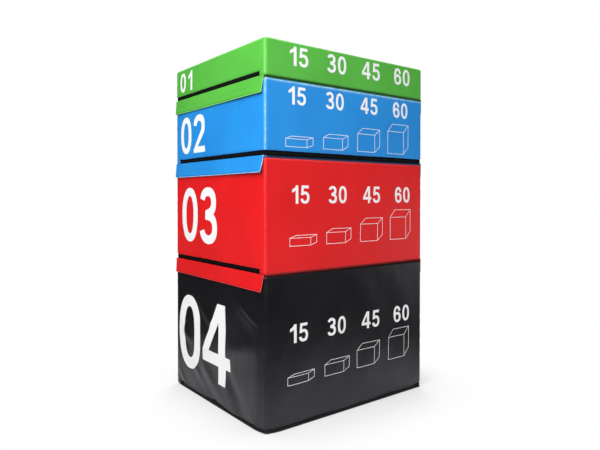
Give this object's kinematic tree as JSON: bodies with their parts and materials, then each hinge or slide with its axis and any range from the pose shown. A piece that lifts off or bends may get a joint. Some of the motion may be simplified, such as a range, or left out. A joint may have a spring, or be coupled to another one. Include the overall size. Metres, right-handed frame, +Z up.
{
  "type": "soft plyo box set",
  "caption": "Stack of soft foam jump boxes in zipped vinyl covers, with side flaps of hook tape that hold each box to the one below; boxes lift apart to set the jump height.",
  "frame": {"origin": "on the floor under the centre of the stack", "axes": "+Z up through the stack, +X to the right along the wide front, +Y from the front to the back"},
  "size_m": [0.918, 0.75, 1.5],
  "materials": {
    "vinyl_black": "black PVC-coated fabric, semi-gloss",
    "vinyl_red": "red PVC-coated fabric, semi-gloss",
    "vinyl_blue": "blue PVC-coated fabric, semi-gloss",
    "vinyl_green": "green PVC-coated fabric, semi-gloss",
    "foam": "closed-cell polyethylene foam",
    "zip_tape": "black woven polyester tape with nylon teeth",
    "zip_metal": "zinc alloy, black coating",
    "hook_tape": "black nylon hook tape",
    "loop_tape": "black nylon loop tape"
  },
  "bodies": {
    "black_box": {"black_foam_core": "foam", "black_top_panel": "vinyl_black", "black_front_panel": "vinyl_black", "black_right_panel": "vinyl_black", "black_back_panel": "vinyl_black", "black_left_panel": "vinyl_black", "black_base_panel": "vinyl_black", "black_zip_upper_tape": "zip_tape", "black_zip_lower_tape": "zip_tape", "black_loop_strips": "loop_tape"},
    "black_zip_slider": {"black_zip_slider": "zip_metal"},
    "black_zip_pull": {"black_zip_pull": "zip_metal"},
    "red_box": {"red_foam_core": "foam", "red_top_panel": "vinyl_red", "red_front_panel": "vinyl_red", "red_right_panel": "vinyl_red", "red_back_panel": "vinyl_red", "red_left_panel": "vinyl_red", "red_base_panel": "vinyl_red", "red_zip_upper_tape": "zip_tape", "red_zip_lower_tape": "zip_tape", "red_loop_strips": "loop_tape"},
    "red_zip_slider": {"red_zip_slider": "zip_metal"},
    "red_zip_pull": {"red_zip_pull": "zip_metal"},
    "red_left_flap": {"red_left_flap": "vinyl_red", "red_left_hook_strip": "hook_tape"},
    "red_right_flap": {"red_right_flap": "vinyl_red", "red_right_hook_strip": "hook_tape"},
    "blue_box": {"blue_foam_core": "foam", "blue_top_panel": "vinyl_blue", "blue_front_panel": "vinyl_blue", "blue_right_panel": "vinyl_blue", "blue_back_panel": "vinyl_blue", "blue_left_panel": "vinyl_blue", "blue_base_panel": "vinyl_blue", "blue_zip_upper_tape": "zip_tape", "blue_zip_lower_tape": "zip_tape", "blue_loop_strips": "loop_tape"},
    "blue_zip_slider": {"blue_zip_slider": "zip_metal"},
    "blue_zip_pull": {"blue_zip_pull": "zip_metal"},
    "blue_left_flap": {"blue_left_flap": "vinyl_blue", "blue_left_hook_strip": "hook_tape"},
    "blue_right_flap": {"blue_right_flap": "vinyl_blue", "blue_right_hook_strip": "hook_tape"},
    "green_box": {"green_foam_core": "foam", "green_top_panel": "vinyl_green", "green_front_panel": "vinyl_green", "green_right_panel": "vinyl_green", "green_back_panel": "vinyl_green", "green_left_panel": "vinyl_green", "green_base_panel": "vinyl_green", "green_zip_upper_tape": "zip_tape", "green_zip_lower_tape": "zip_tape"},
    "green_zip_slider": {"green_zip_slider": "zip_metal"},
    "green_zip_pull": {"green_zip_pull": "zip_metal"},
    "green_left_flap": {"green_left_flap": "vinyl_green", "green_left_hook_strip": "hook_tape"},
    "green_right_flap": {"green_right_flap": "vinyl_green", "green_right_hook_strip": "hook_tape"}
  },
  "joints": [
    {"name": "black_zip_slide", "type": "slide", "parent": "black_box", "child": "black_zip_slider", "axis": [0, -1, 0], "range_m": [0, 0.64]},
    {"name": "black_zip_pull_hinge", "type": "hinge", "parent": "black_zip_slider", "child": "black_zip_pull", "pos_m": [0.4513, 0.344, 0.017], "axis": [0, 0, 1], "range_deg": [0, 180]},
    {"name": "red_box_lift", "type": "slide", "parent": "black_box", "child": "red_box", "axis": [0, 0, 1], "range_m": [0, 0.15]},
    {"name": "red_zip_slide", "type": "slide", "parent": "red_box", "child": "red_zip_slider", "axis": [0, 1, 0], "range_m": [0, 0.64]},
    {"name": "red_zip_pull_hinge", "type": "hinge", "parent": "red_zip_slider", "child": "red_zip_pull", "pos_m": [0.4513, -0.344, 0.617], "axis": [0, 0, -1], "range_deg": [0, 180]},
    {"name": "red_left_flap_hinge", "type": "hinge", "parent": "red_box", "child": "red_left_flap", "pos_m": [-0.4515, 0, 0.607], "axis": [0, 1, 0], "range_deg": [-0.5, 164.9]},
    {"name": "red_right_flap_hinge", "type": "hinge", "parent": "red_box", "child": "red_right_flap", "pos_m": [0.4515, 0, 0.607], "axis": [0, -1, 0], "range_deg": [0, 145]},
    {"name": "blue_box_lift", "type": "slide", "parent": "red_box", "child": "blue_box", "axis": [0, 0, 1], "range_m": [0, 0.15]},
    {"name": "blue_zip_slide", "type": "slide", "parent": "blue_box", "child": "blue_zip_slider", "axis": [0, -1, 0], "range_m": [0, 0.64]},
    {"name": "blue_zip_pull_hinge", "type": "hinge", "parent": "blue_zip_slider", "child": "blue_zip_pull", "pos_m": [0.4513, 0.344, 1.067], "axis": [0, 0, 1], "range_deg": [0, 180]},
    {"name": "blue_left_flap_hinge", "type": "hinge", "parent": "blue_box", "child": "blue_left_flap", "pos_m": [-0.4515, 0, 1.057], "axis": [0, 1, 0], "range_deg": [-2, 163.4], "stiffness_Nm_per_rad": 0.1},
    {"name": "blue_right_flap_hinge", "type": "hinge", "parent": "blue_box", "child": "blue_right_flap", "pos_m": [0.4515, 0, 1.057], "axis": [0, -1, 0], "range_deg": [0, 145]},
    {"name": "green_box_lift", "type": "slide", "parent": "blue_box", "child": "green_box", "axis": [0, 0, 1], "range_m": [0, 0.15]},
    {"name": "green_zip_slide", "type": "slide", "parent": "green_box", "child": "green_zip_slider", "axis": [0, 1, 0], "range_m": [0, 0.64]},
    {"name": "green_zip_pull_hinge", "type": "hinge", "parent": "green_zip_slider", "child": "green_zip_pull", "pos_m": [0.4513, -0.344, 1.367], "axis": [0, 0, -1], "range_deg": [0, 180]},
    {"name": "green_left_flap_hinge", "type": "hinge", "parent": "green_box", "child": "green_left_flap", "pos_m": [-0.4515, 0, 1.357], "axis": [0, 1, 0], "range_deg": [-0.5, 164.9]},
    {"name": "green_right_flap_hinge", "type": "hinge", "parent": "green_box", "child": "green_right_flap", "pos_m": [0.4515, 0, 1.357], "axis": [0, -1, 0], "range_deg": [0, 145]}
  ]
}
